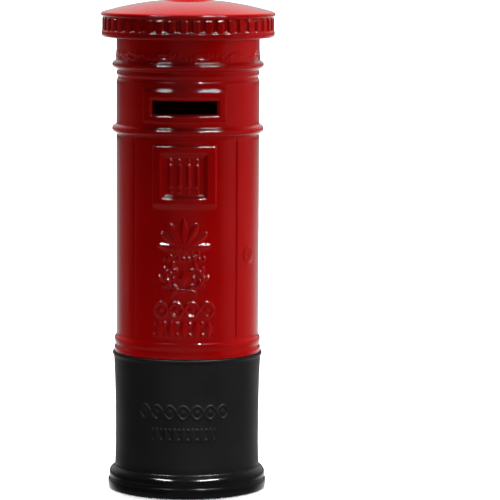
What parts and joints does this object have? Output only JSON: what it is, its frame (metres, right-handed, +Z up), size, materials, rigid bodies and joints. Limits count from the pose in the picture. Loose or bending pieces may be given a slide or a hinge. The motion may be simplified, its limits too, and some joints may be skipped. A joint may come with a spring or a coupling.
{
  "type": "money box",
  "caption": "Enamelled cast-metal money box shaped like a street pillar box, with a coin slot in front and a round lockable coin trap in its base.",
  "frame": {"origin": "on the surface it stands on, under the middle of the base", "axes": "+Z up along the pillar, -Y towards the coin slot, +X towards the side with the small lock boss"},
  "size_m": [0.0794, 0.0794, 0.2249],
  "materials": {
    "red_enamel": "deep gloss red enamel on a zinc casting",
    "black_enamel": "satin black enamel on a zinc casting",
    "trap_enamel": "satin black enamel on pressed steel",
    "zinc_steel": "bright zinc-plated steel",
    "lock_brass": "turned brass",
    "pad_foam": "black foam rubber with fine closed cells"
  },
  "bodies": {
    "root": {"barrel": "red_enamel", "cap": "red_enamel", "plinth": "black_enamel", "base_pad": "pad_foam", "cap_screw_1": "zinc_steel", "cap_screw_2": "zinc_steel", "cap_screw_3": "zinc_steel", "plinth_screw_1": "zinc_steel", "plinth_screw_2": "zinc_steel", "plinth_screw_3": "zinc_steel"},
    "trap": {"trap_plate": "trap_enamel", "lock_housing": "zinc_steel", "lock_nut": "lock_brass"},
    "lock": {"lock_barrel": "lock_brass", "latch_bar": "zinc_steel", "latch_washer": "zinc_steel", "latch_screw": "zinc_steel"}
  },
  "joints": [
    {"name": "trap_pull", "type": "slide", "parent": "root", "child": "trap", "axis": [0, 0, -1], "range_m": [0, 0.04]},
    {"name": "lock_turn", "type": "hinge", "parent": "trap", "child": "lock", "pos_m": [0, 0, 0.008], "axis": [0, 0, 1], "range_deg": [0, 90]}
  ]
}
